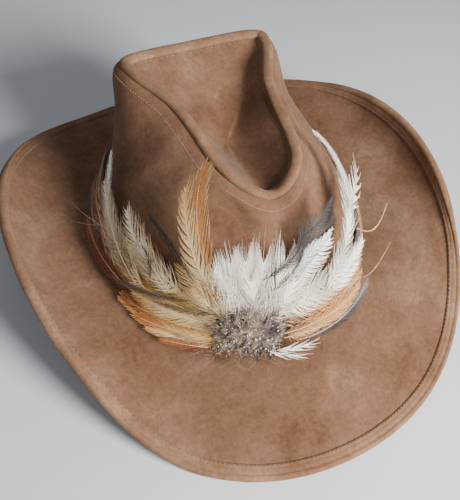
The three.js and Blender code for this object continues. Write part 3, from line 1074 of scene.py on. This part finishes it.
feather_piece("feather_white_right", white_down, [
    ((-18, 38), (18, 58), 5, 20, 130, {"fluff": 0.4, "gaps": 0.7}),
    ((-14, 36), (38, 40), 4.4, 22, 140, {"fluff": 0.3, "gaps": 0.7}),
    ((-14, 30), (30, 32), 4, 18, 120, {"fluff": 0.3, "gaps": 0.7}),
    ((8, 34), (36, 62), 5.4, 18, 110, {"fluff": 0.4, "gaps": 0.8}),
])
feather_piece("feather_plume_right", blue_white, [
    ((-14, 46), (20, 62), 6.6, 9, 110, sleek),
    ((30, 56), (50, 76), 4, 16, 60, {"fluff": 0.2, "gaps": 1.4, "lean": 38}),
])
feather_piece("feather_long_right", white_down, [
    ((30, 50), (60, 92), 5, 15, 130, {"fluff": 0.3, "gaps": 0.6, "lean": 28}),
    ((34, 60), (56, 66), 4.6, 18, 46, {"fluff": 0.1, "gaps": 1.6, "lean": 42, "curl": 5}),
])
feather_piece("feather_peach_upper", peach_hackle, [
    ((-18, 26), (34, 20), 3.4, 19, 150, {**neat, "roll": 0.35}),
    ((-14, 28), (36, 28), 2.6, 16, 130, {**neat, "roll": 0.3}),
])
feather_piece("feather_peach_lower", peach_hackle, [
    ((-12, 16), (28, 18), 5, 16, 130, {**neat, "roll": 0.4}),
    ((-10, 12), (22, 12), 4.6, 14, 110, {**neat, "roll": 0.4}),
])
feather_piece("feather_grey_right", grey_hackle, [
    ((0, 8), (38, 7), 5.6, 13, 110, {**neat, "roll": 0.4}),
    ((-4, 8), (28, 5), 5.2, 12, 100, {**neat, "roll": 0.4}),
])
feather_piece("feather_spikes_low", white_down, [
    ((-16, 9), (-1, 5), 8, 14, 34, {"fluff": 0.1, "gaps": 1.5, "lean": 38, "quill": 0}),
    ((-17, 10), (-8, 1), 9, 12, 26, {"fluff": 0.1, "gaps": 1.5, "lean": 34, "quill": 0}),
])
wispy = {"fluff": 0.0, "gaps": 1.2, "lean": 16, "curl": 12, "bow": 6, "quill": 0.2}
for node, root, tip in (("feather_wisp_upper", (34, 52), (58, 36)),
                        ("feather_wisp_lower", (30, 22), (50, 20))):
    feather_piece(node, peach_hackle, [(root, tip, 6, 2.6, 20, wispy)])

# --- Feathers: the left-hand spray --------------------------------------------------------------
# Olive, orange and rust feathers point back along the crown on the wearer's right, with cream
# plumes above them, curved black ones, and two stripped quills that stand off.

olive_hackle = feather_material(
    "olive_hackle", colour(118, 96, 48), colour(164, 132, 62), colour(150, 96, 36),
    edge=colour(188, 158, 92), streak=0.4, sheen=0.15)
orange_hackle = feather_material(
    "orange_hackle", colour(188, 152, 96), colour(182, 120, 52), colour(142, 76, 30),
    edge=colour(202, 156, 92), streak=0.4)
rust_hackle = feather_material(
    "rust_hackle", colour(96, 48, 24), colour(126, 66, 32), colour(150, 90, 46),
    edge=colour(156, 98, 54), streak=0.45)
brown_hackle = feather_material(
    "brown_hackle", colour(44, 32, 26), colour(72, 52, 40), colour(104, 78, 58),
    edge=colour(130, 104, 82), streak=0.4)

feather_piece("feather_olive_upper", olive_hackle, [
    ((-34, 26), (-78, 22), 3.4, 22, 150, {**neat, "roll": 0.3}),
    ((-34, 30), (-70, 34), 2.8, 18, 120, {**neat, "roll": 0.3}),
])
feather_piece("feather_olive_lower", orange_hackle, [
    ((-32, 18), (-72, 8), 4.4, 20, 150, {**neat, "roll": 0.4, "curl": 3}),
    ((-30, 13), (-64, 6), 5.4, 15, 120, {**neat, "roll": 0.4, "curl": 4}),
])
feather_piece("feather_rust_low", rust_hackle, [
    ((-28, 7), (-52, 3), 6.2, 11, 90, {**neat, "roll": 0.4, "curl": 6}),
])
feather_piece("feather_side_right_1", gold_hackle, [
    ((-30, 24), (-68, 17), 5.2, 17, 130, {**neat, "roll": 0.4}),
    ((-30, 10), (-58, 4), 5.9, 12, 100, {**neat, "roll": 0.4, "curl": 5}),
    ((-52, 14), (-83, 36), 0, 20, 120, {**neat, "roll": 0.3}),
])
feather_piece("feather_brown_left", brown_hackle, [
    ((-46, 33), (-78, 15), 6, 8, 110, sleek),
    ((-36, 30), (-60, 22), 6.4, 6, 80, sleek),
], dark_quill)
feather_piece("feather_cream_left", cream_down, [
    ((-56, 30), (-85, 53), 4.4, 20, 110, soft),
    ((-54, 32), (-71, 46), 5, 16, 90, soft),
    ((-50, 34), (-76, 44), 3.8, 18, 100, soft),
])
feather_piece("feather_black_left", black_hackle, [
    ((-46, 44), (-73, 61), 5.6, 6, 90, {**sleek, "bow": 3}),
    ((-62, 30), (-70, 46), 5.6, 6, 70, {**sleek, "bow": 4}),
], dark_quill)
feather_piece("feather_plume_left_high", white_down, [
    ((-80, 22), (-112, 68), 4.8, 13, 120, {"fluff": 0.3, "gaps": 0.6, "lean": 30}),
])
feather_piece("feather_plume_left_mid", cream_down, [
    ((-68, 24), (-104, 52), 5.2, 20, 120, soft),
    ((-64, 24), (-96, 44), 4.6, 18, 110, soft),
])
feather_piece("feather_rust_left", rust_hackle, [
    ((-66, 16), (-108, 12), 4.4, 18, 130, {**neat, "roll": 0.4}),
    ((-72, 20), (-110, 36), 3.6, 15, 120, {**neat, "roll": 0.3}),
    ((-78, 8), (-112, 44), 3, 10, 110, {**neat, "roll": 0.3}),
])
feather_hairs = bmesh.new()
feather_hairs.loops.layers.uv.new("UVMap")
for root, tip in (((-92, 34), (-108, 10)), ((-90, 36), (-112, 20))):
    lay, length = feather_layer(root, tip, 7, curl=9)
    add_shaft(feather_hairs, lay, length, 0.2)
hairs = finished("stripped_quills", feather_hairs)
hairs.data.materials.append(quill)
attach(hairs, "feather_band")

# --- Feathers: both sides -----------------------------------------------------------------------
# Shingled feathers, three deep, run from the front sprays round both sides to the back, where the
# suede keeper covers their tips.

side_finishes = [(rust_hackle, "feather_rust"), (cream_down, "feather_cream"),
                 (brown_hackle, "feather_brown")]
first_tuft_angle, tuft_pitch = 40, 17.6
for i in range(6):
    start = first_tuft_angle + tuft_pitch * i
    finish, slot = side_finishes[i % 3]
    for side, root, reach in (("left", start, 31), ("right", -start - 12, -31)):
        if side == "right" and i == 0:
            continue
        feather_piece(f"feather_side_{side}_{i + 1}", finish, [
            ((root, 14), (root + reach, 36), i % 3, 20, 120, {**neat, "roll": 0.3}),
            ((root + reach * 0.3, 12), (root + reach * 1.15, 20), i % 3 + 0.5, 18, 110,
             {**neat, "roll": 0.4}),
        ])

# --- Speckled pad -------------------------------------------------------------------------------
# A round cushion of small guinea-fowl feathers over the roots at the front, grey with white dots,
# with a fringe of curled barbs under it.

speckled, speckled_shader, speckled_place, _ = material(
    "guinea_fowl", 0.5, Sheen_Weight=0.3, Specular_IOR_Level=0.5)
dots = speckled_place.node("ShaderNodeTexVoronoi", {"Vector": speckled_place, "Scale": 360.0})
mottle = speckled_place.noise(140, 4).ramp(0.35, 0.65)
grey_tone = mottle.mix(colour(58, 49, 42), colour(138, 120, 100))
feed(speckled_shader, "Base Color", dots.ramp(0.1, 0.24).mix(colour(222, 220, 214), grey_tone))
feed(speckled_shader, "Roughness", speckled_place.noise(600, 3) * 0.4 + 0.3)
bump(speckled_shader, speckled_place.noise(500, 3), 0.5, 0.0004)

pad_angle, pad_height = -24, 20.5
pad_feather_count = 150
golden_turn = 2.39996
pad_feathers = bmesh.new()
pad_feathers.loops.layers.uv.new("UVMap")
chance = random.Random(7)
for i in range(pad_feather_count):
    ring = math.sqrt((i + 0.5) / pad_feather_count)
    turn = i * golden_turn
    x, y = 19 * ring * math.cos(turn), 8.5 * ring * math.sin(turn)
    dome = 3 * math.sqrt(max(1 - ring**2, 0))
    root = (pad_angle + math.degrees(x / head_half_length), pad_height + y)
    reach = chance.uniform(4, 9)
    way = turn + chance.uniform(-1.2, 1.2)
    tip = (root[0] + math.degrees(reach * math.cos(way) / head_half_length),
           root[1] + reach * math.sin(way))
    lay, length = feather_layer(root, tip, 6.2 + dome / layer_pitch, curl=chance.uniform(-1.5, 2.5))
    add_vane(pad_feathers, lay, length, 5.5, 18, 900 + i, fluff=0.2, lean=44, steps=3, gaps=1.3)
pad = finished("speckled_pad_feathers", pad_feathers)
pad.data.materials.append(speckled)
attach(pad, "feather_band")
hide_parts("speckled_pad")

pad_core = bmesh.new()
pad_core.loops.layers.uv.new("UVMap")
bmesh.ops.create_uvsphere(pad_core, u_segments=32, v_segments=16, radius=1, calc_uvs=True)
for vert in pad_core.verts:
    angle = math.radians(pad_angle) + vert.co.x * 18 / head_half_length
    height = pad_height + 8 * vert.co.y
    vert.co = on_crown(angle, height, first_layer + 9 + vert.co.z * 4) * MM
core = finished("speckled_pad_core", pad_core)
core.data.materials.append(speckled)
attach(core, "feather_band")

# --- Glints and curls on the pad ----------------------------------------------------------------
# Small glassy beads are caught in the pad's feathers, and loose brown barbs curl out below it.

glass, glass_shader, glass_place, _ = material(
    "smoky_glass", 0.08, Coat_Weight=0.6, Specular_IOR_Level=0.8)
smoke = glass_place.noise(300, 3)
glass_tone = smoke.ramp(0.35, 0.65).mix(colour(60, 58, 58), colour(196, 198, 198))
feed(glass_shader, "Base Color", glass_tone)
feed(glass_shader, "Roughness", smoke * 0.1 + 0.03)
bead_count = curl_count = 26
bead_off = first_layer + 15.2
beads = bmesh.new()
for i in range(bead_count):
    angle = math.radians(pad_angle) + chance.uniform(-19, 17) / head_half_length
    at = Matrix.Translation(on_crown(angle, chance.uniform(10, 24), bead_off) * MM)
    radius = chance.uniform(0.6, 1.0) * MM
    bmesh.ops.create_icosphere(beads, subdivisions=2, radius=radius, matrix=at)
bead_piece = finished("pad_beads", beads)
bead_piece.data.materials.append(glass)
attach(bead_piece, "feather_band")

curls = bmesh.new()
curls.loops.layers.uv.new("UVMap")
for i in range(curl_count):
    root = (chance.uniform(-38, -14), chance.uniform(6, 11))
    tip = (root[0] + chance.uniform(-9, 9), chance.uniform(-2, 4))
    lay, length = feather_layer(root, tip, chance.uniform(6, 8), curl=3, bow=chance.uniform(-4, 4))
    add_vane(curls, lay, length, 4, 16, 1200 + i, fluff=0.5, lean=30, steps=4, gaps=1.5)
curl_piece = finished("pad_curls", curls)
curl_piece.data.materials.append(brown_hackle)
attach(curl_piece, "feather_band")
